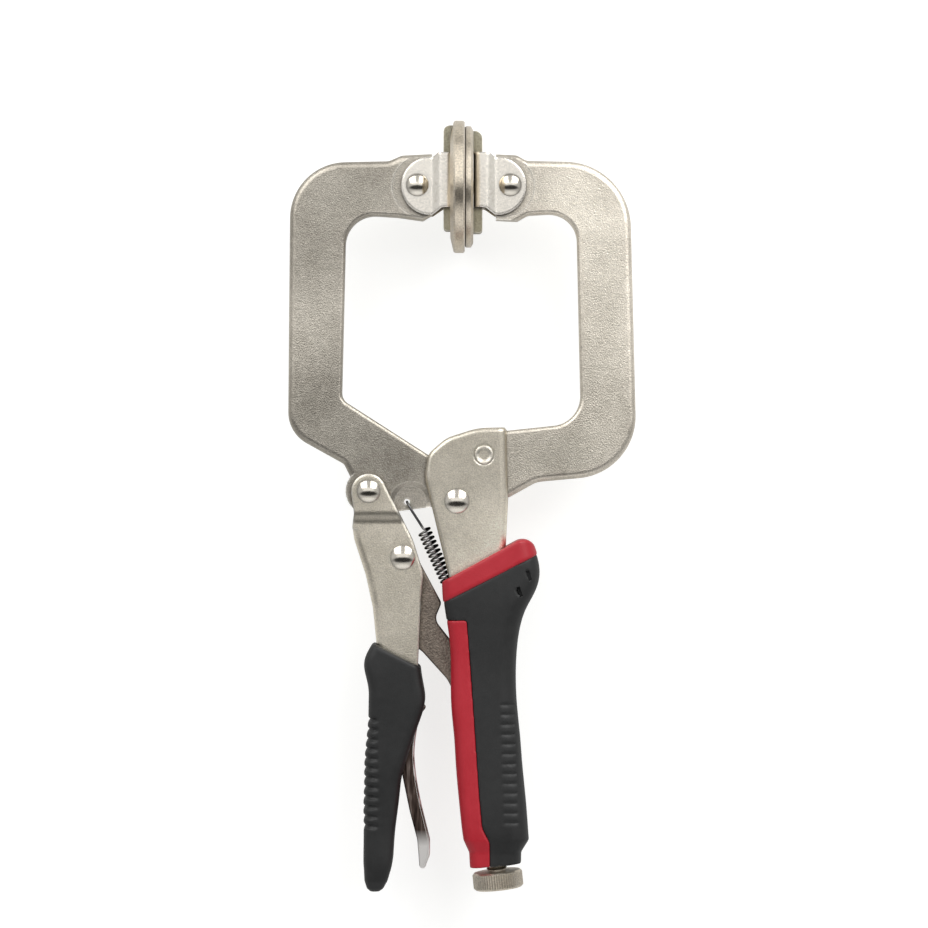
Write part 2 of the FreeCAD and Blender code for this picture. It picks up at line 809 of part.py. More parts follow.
def make_pad_bar(side):
    # Backing bar through the fork: it bears on the pad's back, and its middle is cut away for the web
    front = pad_slip - plate_gap
    if side == "left":
        # Above the pad's hub the bar's front follows the cone of the pad's back
        top = pad_height + 20.5
        bottom = pad_height - left_hub + hub_room
        back = bracket_sheet + left_bar
        hub_top = pad_height + left_hub - hub_room
        cone_top = pad_height + left_pad_radius - cone_start[1]
        cone_foot = pad_height + left_pad_radius - cone_end[1]
        slope = (cone_end[0] - cone_start[0]) / (cone_top - cone_foot)
        upper = [
            (cone_start[0] + slope * (cone_top - top) + pad_slip, top),
            (back, top, 2.2),
        ]
        step = [(front, hub_top), (cone_end[0] + pad_slip, hub_top), (cone_end[0] + pad_slip, cone_foot)]
    else:
        top = pad_height + 18.6
        bottom = pad_height - 15.8
        back = bracket_sheet + right_bar
        upper = [(front, top), (back, top, 2.6)]
        step = []
    shape = upper + [
        (back, bottom, 1.2),
        (front, bottom),
        (front, bracket_height - web_bottom - plate_gap),
        (bracket_sheet, bracket_height - web_bottom - plate_gap),
        (bracket_sheet, bracket_height + web_top + plate_gap),
        (front, bracket_height + web_top + plate_gap),
    ] + step
    half = bracket_out - bend_inside - plate_gap
    body = plate(shape, -half, half)
    stud = Part.makeCylinder(stud_radius, 20, vec(-8, pad_height, 0), vec(1, 0, 0))
    return place_side(tidy(body.cut(stud)), side)


def make_pad(side):
    if side == "left":
        face = left_face - left_web
        rim = left_pad_radius
        points = [
            (-face, 0), (-face, rim - 0.5), (-face + 0.5, rim), (-0.35, rim),
            (cone_start[0], rim - cone_start[1]), (cone_end[0], rim - cone_end[1]),
            (cone_end[0], left_hub + 0.4), (-plate_gap, left_hub), (-plate_gap, 0),
        ]
    else:
        face = right_web - right_face
        rim = right_pad_radius
        points = [
            (-face, 0), (-face, rim - 0.4), (-face + 0.4, rim), (-0.9, rim), (-plate_gap, rim - 1.4),
            (-plate_gap, 0),
        ]
    body = turned(points)
    seat = 1.3
    bore = turned([(-face - 1, 0), (-face - 1, 4.3), (-face + seat, 4.3), (-face + seat, stud_radius + running),
                   (2, stud_radius + running), (2, 0)])
    body = tidy(body.cut(bore))
    return place_side(body, side)


def make_pad_stud(side):
    face = (left_face - left_web) if side == "left" else (right_web - right_face)
    back = bracket_sheet + (left_bar if side == "left" else right_bar)
    points = [
        (-face + 0.25, 0), (-face + 0.25, 3.4), (-face + 0.6, 4.0), (-face + 1.1, 4.0), (-face + 1.1, stud_radius),
        (back, stud_radius), (back, 3.4), (back + 0.9, 3.0), (back + 0.9, 0),
    ]
    return place_side(turned(points), side)


def make_bracket_rivet(side):
    x = bracket_rivet
    body = rivet((x, bracket_height), bracket_shank, bracket_head, bracket_out + plate_gap)
    return place_side(body, side)


# Return spring: close coils between the jaw's hook hole and a cross pin in the handle
def rod(a, b, radius):
    line = b - a
    return Part.makeCylinder(radius, line.Length, a, line)


def make_spring():
    top = vec(spring_top[0], spring_top[1])
    end = vec(spring_end[0], spring_end[1])
    line = end - top
    helix = Part.makeHelix(line.Length / coil_turns, line.Length, coil_radius)
    ring = Part.Wire(Part.Edge(Part.Circle(vec(coil_radius, 0, 0), vec(0, 1, 0), wire_radius)))
    coil = Part.Wire(helix).makePipeShell([ring], True, True)
    turn = FreeCAD.Rotation(vec(line.y, -line.x, 0).normalize() * -1, vec(0, 0, 1), line, "ZXY")
    coil.Placement = FreeCAD.Placement(top, turn)
    first = turn.multVec(vec(coil_radius, 0, 0)) + top
    last = turn.multVec(vec(coil_radius, 0, 0)) + end
    lift = moving_jaw_thick / 2 - 0.8 + wire_radius + 0.2
    step = vec(-15.2, -3.4, lift)
    hook = vec(spring_hole[0], spring_hole[1], lift)
    eye = vec(anchor_place[0], anchor_place[1])
    loop = Part.makeTorus(anchor_radius + wire_radius + 0.1, wire_radius, eye)
    near = eye + (last - eye).normalize() * (anchor_radius + wire_radius + 0.1)
    bead = 1.12
    pieces = [
        Part.makeSphere(wire_radius * bead, first),
        rod(first, step, wire_radius),
        Part.makeSphere(wire_radius * bead, step),
        rod(step, hook, wire_radius),
        Part.makeSphere(wire_radius * bead, hook),
        rod(hook, hook - vec(0, 0, 4.0), wire_radius),
        Part.makeSphere(wire_radius * bead, last),
        rod(last, near, wire_radius),
        loop,
    ]
    return tidy(coil.fuse(pieces))


def write(name, shape):
    shape = shape.copy()
    shape.translate(vec(pivot_x, pivot_y, left_pad_radius))
    shape.exportStep("parts/" + name + ".step")


os.makedirs("parts", exist_ok=True)
write("fixed_jaw", make_fixed_jaw())
write("moving_jaw", make_moving_jaw())
write("handle_channel", make_handle_channel())
write("jaw_fixing_pin", make_jaw_fixing_pin())
write("jaw_pivot_rivet", rivet((0, 0), pivot_shank, pivot_head, cheek_out))
write("handle_end_nut", make_handle_end_nut())
write("adjusting_screw", make_adjusting_screw())
grip_parts = make_handle_grips()
write("handle_collar", grip_parts[0])
write("handle_stripe", grip_parts[1])
write("handle_grip", grip_parts[2])
write("lever_channel", make_lever_channel())
write("lever_rivet", rivet(lever_pivot, lever_shank, lever_head, ear_out))
write("link_rivet", rivet(link_pivot, link_shank, link_head, flange_out))
write("lever_grip", make_lever_grip())
write("release_lever", make_release_lever())
write("release_lever_pin", post(release_pivot, release_pin, -flange_out, flange_out))
write("toggle_link", make_toggle_link())
write("spring", make_spring())
write("spring_anchor_pin", post(anchor_place, anchor_radius, -cheek_out, cheek_out))
for side in ("left", "right"):
    write(side + "_pad_bracket", make_bracket(side))
    write(side + "_bracket_rivet", make_bracket_rivet(side))
    write(side + "_pad_bar", make_pad_bar(side))
    write(side + "_pad", make_pad(side))
    write(side + "_pad_stud", make_pad_stud(side))
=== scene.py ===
import bpy
import math
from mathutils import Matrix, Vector


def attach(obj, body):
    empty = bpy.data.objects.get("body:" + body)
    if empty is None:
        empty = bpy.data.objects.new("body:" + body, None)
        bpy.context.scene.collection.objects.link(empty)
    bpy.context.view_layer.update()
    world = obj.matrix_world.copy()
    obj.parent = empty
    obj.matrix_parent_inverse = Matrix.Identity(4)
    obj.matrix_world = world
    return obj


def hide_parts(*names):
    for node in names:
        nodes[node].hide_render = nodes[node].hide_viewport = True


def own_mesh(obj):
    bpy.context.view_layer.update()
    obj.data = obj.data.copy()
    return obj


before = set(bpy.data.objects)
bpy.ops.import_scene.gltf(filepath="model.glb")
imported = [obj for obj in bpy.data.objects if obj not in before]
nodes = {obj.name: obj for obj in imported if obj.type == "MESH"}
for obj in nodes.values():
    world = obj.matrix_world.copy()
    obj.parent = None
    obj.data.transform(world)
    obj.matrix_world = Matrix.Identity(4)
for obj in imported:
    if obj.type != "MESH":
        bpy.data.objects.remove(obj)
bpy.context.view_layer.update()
bpy.ops.object.select_all(action="DESELECT")


# Table, lamps and camera
# The clamp lies on a white table and is seen from straight above.
# Two large square lamps lean over it from beyond the pads, to the left and to the right.
view_size = 928
mm_per_pixel = 0.3385
camera_height = 1.15
# Height of the jaws' middle plane over the table, which is the larger pad's radius
plate_height = 0.02235
view_centre = (0.0007, 0.0141)
sensor = 36.0

scene = bpy.context.scene
scene.view_settings.view_transform = "Standard"

field = view_size * mm_per_pixel / 1000
bpy.ops.object.camera_add(location=(view_centre[0], view_centre[1], plate_height + camera_height))
camera = bpy.context.object
camera.name = "camera"
camera.data.sensor_width = sensor
camera.data.lens = sensor * camera_height / field
camera.data.clip_start = 0.01
camera.data.clip_end = 10
scene.camera = camera

# The room is pale, bright overhead and low down at the handles' end, and dim between the two
world = bpy.data.worlds.new("soft_room")
scene.world = world
world.use_nodes = True
room = world.node_tree
room.nodes.clear()
room_out = room.nodes.new("ShaderNodeOutputWorld")
room_mix = room.nodes.new("ShaderNodeMixShader")
room_light = room.nodes.new("ShaderNodeBackground")
room_light.inputs["Color"].default_value = (0.98, 0.985, 1.0, 1)
room_white = room.nodes.new("ShaderNodeBackground")
room_white.inputs["Color"].default_value = (1, 1, 1, 1)
room_white.inputs["Strength"].default_value = 1.0
room_path = room.nodes.new("ShaderNodeLightPath")
room_way = room.nodes.new("ShaderNodeTexCoord")
room_parts = room.nodes.new("ShaderNodeSeparateXYZ")
room.links.new(room_way.outputs["Generated"], room_parts.inputs["Vector"])


def room_step(source, low, high, to_low, to_high):
    # A smooth step of the room's light along one direction
    step = room.nodes.new("ShaderNodeMapRange")
    step.interpolation_type = "SMOOTHSTEP"
    step.inputs["From Min"].default_value = low
    step.inputs["From Max"].default_value = high
    step.inputs["To Min"].default_value = to_low
    step.inputs["To Max"].default_value = to_high
    room.links.new(source, step.inputs["Value"])
    return step.outputs["Result"]


def room_times(first, second):
    # The product of two masks
    node = room.nodes.new("ShaderNodeMath")
    node.operation = "MULTIPLY"
    room.links.new(first, node.inputs[0])
    room.links.new(second, node.inputs[1])
    return node.outputs[0]


def room_ellipse(middle_x, middle_y, wide, tall, soft):
    # A mask that is one in an ellipse of the ceiling, laid out along X and Y, and falls to nothing at its soft rim
    ways = []
    for axis, middle, reach in (("X", middle_x, wide), ("Y", middle_y, tall)):
        moved = room.nodes.new("ShaderNodeMath")
        moved.operation = "MULTIPLY_ADD"
        moved.inputs[1].default_value = 1 / reach
        moved.inputs[2].default_value = -middle / reach
        room.links.new(room_parts.outputs[axis], moved.inputs[0])
        square = room.nodes.new("ShaderNodeMath")
        square.operation = "POWER"
        square.inputs[1].default_value = 2.0
        room.links.new(moved.outputs[0], square.inputs[0])
        ways.append(square.outputs[0])
    total = room.nodes.new("ShaderNodeMath")
    total.operation = "ADD"
    room.links.new(ways[0], total.inputs[0])
    room.links.new(ways[1], total.inputs[1])
    inside = room_step(total.outputs[0], 1 - soft, 1 + soft, 1.0, 0.0)
    return room_times(inside, room_step(room_parts.outputs["Z"], 0.0, 0.3, 0.0, 1.0))


def room_toward(mask, level, target):
    # The given level, moved towards another where the mask is one
    node = room.nodes.new("ShaderNodeMapRange")
    node.inputs["To Max"].default_value = target
    if isinstance(level, float):
        node.inputs["To Min"].default_value = level
    else:
        room.links.new(level, node.inputs["To Min"])
    room.links.new(mask, node.inputs["Value"])
    return node.outputs["Result"]


horizon_level, room_level, overhead_level, dim_level, foot_level = 0.30, 0.66, 1.22, 0.03, 1.10
overhead = room_ellipse(middle_x=0.0, middle_y=0.13, wide=0.62, tall=0.27, soft=0.5)
dim_patch = room_ellipse(middle_x=0.0, middle_y=-0.27, wide=0.88, tall=0.29, soft=0.35)
above_horizon = room_step(room_parts.outputs["Z"], 0.05, 0.40, 0.0, 1.0)
foot_glow = room_times(room_step(room_parts.outputs["Y"], -0.62, -0.80, 0.0, 1.0), above_horizon)
level = room_toward(above_horizon, horizon_level, room_level)
level = room_toward(overhead, level, overhead_level)
level = room_toward(foot_glow, level, foot_level)
level = room_toward(dim_patch, level, dim_level)
room.links.new(level, room_light.inputs["Strength"])
room.links.new(room_path.outputs["Is Camera Ray"], room_mix.inputs["Fac"])
room.links.new(room_light.outputs["Background"], room_mix.inputs[1])
room.links.new(room_white.outputs["Background"], room_mix.inputs[2])
room.links.new(room_mix.outputs["Shader"], room_out.inputs["Surface"])


def soft_lamp(name, across, size, watts):
    # One of the two square lamps: they stand side by side beyond the pads and lean over the clamp
    lean = math.radians(49)
    reach = 1.0
    place = (view_centre[0] + across, view_centre[1] + reach * math.sin(lean), plate_height + reach * math.cos(lean))
    bpy.ops.object.light_add(type="AREA", location=place, rotation=(-lean, 0, 0))
    lamp = bpy.context.object
    lamp.name = name
    lamp.data.shape = "SQUARE"
    lamp.data.size = size
    lamp.data.energy = watts


soft_lamp("lamp_left", across=-0.72, size=0.96, watts=8.4)
soft_lamp("lamp_right", across=0.72, size=0.96, watts=12.4)

bpy.ops.mesh.primitive_plane_add(size=6, location=(0, 0, 0))
table = bpy.context.object
table.name = "table"
table_look = bpy.data.materials.new("white_table")
table_look.use_nodes = True
table_nodes = table_look.node_tree
table_nodes.nodes.clear()
table_out = table_nodes.nodes.new("ShaderNodeOutputMaterial")
table_add = table_nodes.nodes.new("ShaderNodeAddShader")
table_paint = table_nodes.nodes.new("ShaderNodeBsdfDiffuse")
table_paint.inputs["Color"].default_value = (0.42, 0.42, 0.415, 1)
# The paint is dim enough to leave the clamp's underside dark, and a glow lifts it to white
glow_for_all = 0.30
glow_for_camera = 0.42
table_glow = table_nodes.nodes.new("ShaderNodeEmission")
table_glow.inputs["Color"].default_value = (1, 1, 0.985, 1)
table_path = table_nodes.nodes.new("ShaderNodeLightPath")
table_level = table_nodes.nodes.new("ShaderNodeMath")
table_level.operation = "MULTIPLY_ADD"
table_level.inputs[1].default_value = glow_for_camera
table_level.inputs[2].default_value = glow_for_all
table_nodes.links.new(table_path.outputs["Is Camera Ray"], table_level.inputs[0])
table_nodes.links.new(table_level.outputs[0], table_glow.inputs["Strength"])
table_nodes.links.new(table_paint.outputs[0], table_add.inputs[0])
table_nodes.links.new(table_glow.outputs[0], table_add.inputs[1])
table_nodes.links.new(table_add.outputs[0], table_out.inputs["Surface"])
table.data.materials.append(table_look)


# Jaws
# The moving jaw and the fixed jaw are flat steel forgings with rounded edges, nickel-plated over a fine grain.
# The moving jaw swings on the main rivet, and the fixed jaw is pinned in the head of the handle's channel.
def group_in(group, name, value):
    # A number that goes into a node group
    socket = group.interface.new_socket(name=name, in_out="INPUT", socket_type="NodeSocketFloat")
    socket.default_value = value


def group_out(group, name):
    # A number that comes out of a node group
    group.interface.new_socket(name=name, in_out="OUTPUT", socket_type="NodeSocketFloat")


def add_node(tree, kind, **values):
    # A shader node, with its own settings and the plain values of its sockets
    node = tree.nodes.new(kind)
    for name, value in values.items():
        if hasattr(node, name):
            setattr(node, name, value)
        else:
            node.inputs[name.replace("_", " ")].default_value = value
    return node


def make_plate_grain():
    # Fine pebbled grain of a plated surface: a height, speckles and large soft patches
    group = bpy.data.node_groups.new("plate_grain", "ShaderNodeTree")
    group_in(group, "Grains per metre", 2600.0)
    group_out(group, "Height")
    group_out(group, "Speckle")
    group_out(group, "Patches")
    links = group.links
    entry = add_node(group, "NodeGroupInput")
    exit_node = add_node(group, "NodeGroupOutput")
    where = add_node(group, "ShaderNodeTexCoord")
    cells = add_node(group, "ShaderNodeTexVoronoi", feature="SMOOTH_F1")
    fine = add_node(group, "ShaderNodeTexNoise", Detail=3.0, Roughness=0.6)
    broad = add_node(group, "ShaderNodeTexNoise", Scale=38.0, Detail=4.0, Roughness=0.55)
    mid = add_node(group, "ShaderNodeTexNoise", Scale=420.0, Detail=3.0, Roughness=0.6)
    # Share of the cells in the height, over the fine noise, and of the mid-sized noise over the broad one
    cells_share = 0.6
    mid_share = 0.45
    blend = add_node(group, "ShaderNodeMath", operation="MULTIPLY_ADD")
    patch = add_node(group, "ShaderNodeMath", operation="MULTIPLY_ADD")
    blend.inputs[1].default_value = cells_share
    patch.inputs[1].default_value = mid_share
    for texture in (cells, fine, broad, mid):
        links.new(where.outputs["Object"], texture.inputs["Vector"])
    links.new(entry.outputs[0], cells.inputs["Scale"])
    links.new(entry.outputs[0], fine.inputs["Scale"])
    links.new(cells.outputs["Distance"], blend.inputs[0])
    links.new(fine.outputs["Fac"], blend.inputs[2])
    links.new(blend.outputs[0], exit_node.inputs["Height"])
    links.new(fine.outputs["Fac"], exit_node.inputs["Speckle"])
    links.new(mid.outputs["Fac"], patch.inputs[0])
    links.new(broad.outputs["Fac"], patch.inputs[2])
    links.new(patch.outputs[0], exit_node.inputs["Patches"])
    return group


def make_worn_and_lit_edges():
    # A mask along edges: rubbed plating there, and a painted edge highlight, which on the rivets is a painted dark
    # line of shade instead
    group = bpy.data.node_groups.new("worn_and_lit_edges", "ShaderNodeTree")
    group_in(group, "Width", 0.0008)
    group_out(group, "Mask")
    links = group.links
    entry = add_node(group, "NodeGroupInput")
    exit_node = add_node(group, "NodeGroupOutput")
    rounded = add_node(group, "ShaderNodeBevel", samples=6)
    plain = add_node(group, "ShaderNodeNewGeometry")
    match = add_node(group, "ShaderNodeVectorMath", operation="DOT_PRODUCT")
    where = add_node(group, "ShaderNodeTexCoord")
    break_up = add_node(group, "ShaderNodeTexNoise", Scale=900.0, Detail=3.0)
    level = add_node(group, "ShaderNodeMapRange", From_Min=0.995, From_Max=0.86)
    fade = add_node(group, "ShaderNodeMapRange", From_Min=0.35, From_Max=0.6, To_Min=0.35)
    both = add_node(group, "ShaderNodeMath", operation="MULTIPLY")
    links.new(entry.outputs[0], rounded.inputs["Radius"])
    links.new(rounded.outputs["Normal"], match.inputs[0])
    links.new(plain.outputs["Normal"], match.inputs[1])
    links.new(match.outputs["Value"], level.inputs["Value"])
    links.new(where.outputs["Object"], break_up.inputs["Vector"])
    links.new(break_up.outputs["Fac"], fade.inputs["Value"])
    links.new(level.outputs["Result"], both.inputs[0])
    links.new(fade.outputs["Result"], both.inputs[1])
    links.new(both.outputs[0], exit_node.inputs["Mask"])
    return group


plate_grain = make_plate_grain()
worn_and_lit_edges = make_worn_and_lit_edges()


def colour_steps(tree, source, steps):
    # A colour ramp with the given (place, colour) steps
    ramp = tree.nodes.new("ShaderNodeValToRGB")
    marks = ramp.color_ramp.elements
    while len(marks) < len(steps):
        marks.new(0.5)
    for mark, (place, colour) in zip(marks, steps):
        mark.position = place
        mark.color = (*colour, 1)
    tree.links.new(source, ramp.inputs["Fac"])
    return ramp.outputs["Color"]


def span(tree, source, low, high, to_low, to_high, steps="LINEAR"):
    # A value moved from one range to another
    node = tree.nodes.new("ShaderNodeMapRange")
    node.interpolation_type = steps
    node.inputs["From Min"].default_value = low
    node.inputs["From Max"].default_value = high
    node.inputs["To Min"].default_value = to_low
    node.inputs["To Max"].default_value = to_high
    tree.links.new(source, node.inputs["Value"])
    return node.outputs["Result"]


def mix_colours(tree, mask, first, second, kind="MIX"):
    # Two colours mixed where the mask is one; each is a plain value or another node's output
    node = tree.nodes.new("ShaderNodeMix")
    node.data_type = "RGBA"
    node.blend_type = kind
    for value, name in ((mask, "Factor"), (first, "A"), (second, "B")):
        socket = node.inputs[name]
        if isinstance(value, float):
            socket.default_value = value
        elif isinstance(value, tuple):
            socket.default_value = (*value, 1)
        else:
            tree.links.new(value, socket)
    return node.outputs["Result"]


def new_look(name, metallic, **values):
    # A material with its Principled shader
    look = bpy.data.materials.new(name)
    look.use_nodes = True
    tree = look.node_tree
    shader = tree.nodes["Principled BSDF"]
    shader.inputs["Metallic"].default_value = metallic
    for socket, value in values.items():
        shader.inputs[socket.replace("_", " ")].default_value = value
    return look, tree, shader


def scaled(tree, colour, tone):
    # A colour made darker or lighter by a tone
    node = tree.nodes.new("ShaderNodeVectorMath")
    node.operation = "SCALE"
    tree.links.new(colour, node.inputs[0])
    tree.links.new(tone, node.inputs["Scale"])
    return node.outputs["Vector"]


def bump(tree, shader, height, depth, strength):
    # Relief of that depth on the shader's surface
    node = tree.nodes.new("ShaderNodeBump")
    node.inputs["Strength"].default_value = strength
    node.inputs["Distance"].default_value = depth
    tree.links.new(height, node.inputs["Height"])
    tree.links.new(node.outputs["Normal"], shader.inputs["Normal"])


def painted_light_spots(tree, colour, spots):
    # Painted light and shade: broad soft areas (x, y, reach, level) where the plate is painted lighter or darker, as
    # the lamps light it unevenly
    where = tree.nodes.new("ShaderNodeTexCoord")
    for x, y, reach, level in spots:
        away = tree.nodes.new("ShaderNodeVectorMath")
        away.operation = "DISTANCE"
        away.inputs[1].default_value = (x, y, plate_height)
        tree.links.new(where.outputs["Object"], away.inputs[0])
        tone = span(tree, away.outputs["Value"], reach * 0.35, reach, level, 1.0, "SMOOTHSTEP")
        colour = scaled(tree, colour, tone)
    return colour


def painted_fold_shade(tree, colour, line, reach, level):
    # Painted shade: the plate is darkened along a fold across the piece, at that Y, where the step faces away from
    # the lamps
    where = tree.nodes.new("ShaderNodeTexCoord")
    parts = tree.nodes.new("ShaderNodeSeparateXYZ")
    tree.links.new(where.outputs["Object"], parts.inputs["Vector"])
    away = tree.nodes.new("ShaderNodeMath")
    away.operation = "SUBTRACT"
    away.inputs[1].default_value = line
    tree.links.new(parts.outputs["Y"], away.inputs[0])
    size = tree.nodes.new("ShaderNodeMath")
    size.operation = "ABSOLUTE"
    tree.links.new(away.outputs[0], size.inputs[0])
    return scaled(tree, colour, span(tree, size.outputs[0], reach * 0.4, reach, level, 1.0, "SMOOTHSTEP"))


def plated(name, dark, light, edge_wear_and_light, rough, grains, depth, edge, spots=(), fleck=0.62, soften=0.0, fold=None):
    # Satin nickel plate: grain, speckles, soft patches, rubbed edges of their own colour that also carry a painted
    # highlight, and painted shade in the nooks
    look, tree, shader = new_look(name, 1.0)
    grain = tree.nodes.new("ShaderNodeGroup")
    grain.node_tree = plate_grain
    grain.inputs["Grains per metre"].default_value = grains
    edges = tree.nodes.new("ShaderNodeGroup")
    edges.node_tree = worn_and_lit_edges
    edges.inputs["Width"].default_value = edge
    tone = colour_steps(tree, grain.outputs["Patches"], [(0.45, dark), (0.95, light)])
    speckle = colour_steps(tree, grain.outputs["Speckle"],
                           [(0.36, (fleck, fleck, fleck)), (0.62, (1.0, 1.0, 1.0))])
    # Painted light and shade: broad spots make the plate lighter or darker
    body = painted_light_spots(tree, mix_colours(tree, 0.85, tone, speckle, "MULTIPLY"), spots)
    # Edges take the edge colour: rubbed plating with a painted highlight; on the rivets it is a painted dark line of
    # shade
    colour = mix_colours(tree, edges.outputs["Mask"], body, edge_wear_and_light)
    # Painted shade: the colour is darkened in nooks and creases, where shade falls
    nook = add_node(tree, "ShaderNodeAmbientOcclusion", samples=6, Distance=0.0016)
    nook_shade = span(tree, nook.outputs["AO"], 0.45, 0.9, 0.45, 1.0)
    colour = scaled(tree, colour, nook_shade)
    # Painted shade along a fold, where the step faces away from the lamps
    if fold:
        colour = painted_fold_shade(tree, colour, *fold)
    tree.links.new(colour, shader.inputs["Base Color"])
    tree.links.new(span(tree, grain.outputs["Patches"], 0.4, 1.0, rough[0], rough[1]), shader.inputs["Roughness"])
    bump(tree, shader, grain.outputs["Height"], depth, 0.6)
    if soften:
        rounded = add_node(tree, "ShaderNodeBevel", samples=6, Radius=soften)
        tree.links.new(rounded.outputs["Normal"], tree.nodes["Bump"].inputs["Normal"])
    return look


def dress(look, *names):
    # Each node keeps its shape and takes that finish
    for name in names:
        piece = nodes[name]
        piece.data.materials.clear()
        piece.data.materials.append(look)


# The jaws' spots are painted shade over the left arm and painted light over the right arm
jaw_look = plated("jaw_plate", dark=(0.50, 0.455, 0.38), light=(0.74, 0.685, 0.59), edge_wear_and_light=(0.94, 0.90, 0.82),
                  rough=(0.30, 0.42), grains=2500.0, depth=0.00013, edge=0.0013,
                  spots=[(-0.036, 0.022, 0.042, 0.73), (-0.050, 0.105, 0.050, 0.78),
                         (0.060, 0.080, 0.068, 1.44), (0.038, 0.012, 0.036, 1.24)])
dress(jaw_look, "moving_jaw", "fixed_jaw")


# Handle channel, lever channel and pad brackets
# Folded sheet steel with the same plate over a smoother skin, so that they look lighter than the jaws.
# A painted light spot brightens the handle channel near its rounded right bend
sheet_look = plated("sheet_plate", dark=(0.65, 0.595, 0.485), light=(0.84, 0.775, 0.65), edge_wear_and_light=(0.97, 0.94, 0.87),
                    rough=(0.26, 0.38), grains=2300.0, depth=0.00007, edge=0.0012,
                    spots=[(0.012, -0.022, 0.034, 1.45)], fleck=0.70, soften=0.0012)
dress(sheet_look, "handle_channel", "jaw_fixing_pin")
# A painted shade spot darkens the lever's ear, and a painted shade line lies along its fold
lever_look = plated("lever_plate", dark=(0.80, 0.73, 0.59), light=(0.97, 0.895, 0.75), edge_wear_and_light=(0.97, 0.94, 0.87),
                    rough=(0.26, 0.38), grains=2300.0, depth=0.00007, edge=0.0012,
                    spots=[(-0.034, 0.006, 0.016, 0.90)], fleck=0.70, soften=0.0014, fold=(-0.0039, 0.0025, 0.66))
dress(lever_look, "lever_channel")
fold_look = plated("fold_plate", dark=(0.82, 0.77, 0.68), light=(0.95, 0.90, 0.81), edge_wear_and_light=(0.97, 0.94, 0.89),
                   rough=(0.22, 0.28), grains=1600.0, depth=0.00001, edge=0.0007, fleck=0.86, soften=0.0012)
dress(fold_look, "left_pad_bracket", "right_pad_bracket")


# Rivets
# Polished domed heads on both sides, clenched over the sheet.
# The rivets' edge colour is dark: a painted line of shade round their rims
rivet_look = plated("rivet_polish", dark=(0.62, 0.58, 0.50), light=(0.78, 0.73, 0.64), edge_wear_and_light=(0.40, 0.36, 0.30),
                    rough=(0.14, 0.20), grains=2600.0, depth=0.00001, edge=0.0003, fleck=0.9)
dress(rivet_look, "jaw_pivot_rivet", "lever_rivet", "link_rivet", "left_bracket_rivet", "right_bracket_rivet")


# Toggle link
# A rough dark forging, not plated, between the lever and the end of the adjusting screw.
link_look = plated("forged_scale", dark=(0.17, 0.14, 0.115), light=(0.42, 0.36, 0.30), edge_wear_and_light=(0.55, 0.50, 0.44),
                   rough=(0.50, 0.70), grains=1500.0, depth=0.0003, edge=0.0008)
dress(link_look, "toggle_link")


# Pads, their bars and studs
# Turned discs on short studs, each with a flat bar behind it in the fork of the bracket.
pad_look = plated("pad_plate", dark=(0.63, 0.55, 0.43), light=(0.86, 0.765, 0.62), edge_wear_and_light=(0.86, 0.81, 0.72),
                  rough=(0.26, 0.38), grains=2000.0, depth=0.00006, edge=0.0006)
bar_look = plated("bar_plate", dark=(0.32, 0.295, 0.205), light=(0.46, 0.425, 0.32), edge_wear_and_light=(0.72, 0.68, 0.58),
                  rough=(0.30, 0.42), grains=2000.0, depth=0.00006, edge=0.0008)
dress(pad_look, "left_pad", "right_pad")
dress(bar_look, "left_pad_bar", "right_pad_bar", "left_pad_stud", "right_pad_stud")


# Spring and hidden pins
# Steel spring wire, closely coiled, from the hole in the moving jaw to a cross pin in the handle, painted grey where
# lit and black as shade at the coil's sides.
# It pulls the jaw open, so it shortens towards its pin as the jaw swings. Places are from the main pivot.
main_pivot = Vector((-0.001685, 0.001585, plate_height))
hook_place = main_pivot + Vector((-0.0169, -0.0003, 0))
coil_top = main_pivot + Vector((-0.0113, -0.0097, 0))
coil_end = main_pivot + Vector((0.0040, -0.0429, 0))
eye_place = main_pivot + Vector((0.0060, -0.0482, 0))
wire_radius = 0.00045
coil_radius = 0.0021
coil_turns = 23
steps_per_turn = 14
jaw_face = 0.0035

coil_line = (coil_end - coil_top).normalized()
coil_side = Vector((0, 0, 1)).cross(coil_line)
wire_path = [
    hook_place + Vector((0, 0, jaw_face - 0.003)),
    hook_place + Vector((0, 0, jaw_face - 0.0004)),
    hook_place + Vector((0.0007, -0.0012, jaw_face + 0.0001)),
    main_pivot + Vector((-0.0152, -0.0034, jaw_face + 0.0001)),
    coil_top - coil_line * 0.0016 + Vector((0, 0, coil_radius)),
]
for step in range(coil_turns * steps_per_turn + 1):
    turn = 2 * math.pi * step / steps_per_turn
    share = step / (coil_turns * steps_per_turn)
    centre = coil_top.lerp(coil_end, share)
    wire_path.append(centre + coil_side * coil_radius * math.sin(turn) + Vector((0, 0, coil_radius * math.cos(turn))))
eye_radius = 0.0018
eye_steps, eye_start, eye_step = 13, 60, 25
for step in range(eye_steps):
    turn = math.radians(eye_start + eye_step * step)
    wire_path.append(eye_place + Vector((eye_radius * math.cos(turn), eye_radius * math.sin(turn), 0)))

bpy.ops.curve.primitive_nurbs_path_add(location=(0, 0, 0))
return_spring = bpy.context.object
return_spring.name = "return_spring"
spline = return_spring.data.splines[0]
spline.points.add(len(wire_path) - len(spline.points))
for point, place in zip(spline.points, wire_path):
    point.co = (*place, 1)
spline.order_u = 4
spline.use_endpoint_u = True
spline.resolution_u = 2
return_spring.data.bevel_depth = wire_radius
return_spring.data.bevel_resolution = 3
return_spring.data.use_fill_caps = True
bpy.ops.object.convert(target="MESH")
bpy.ops.object.shade_smooth()
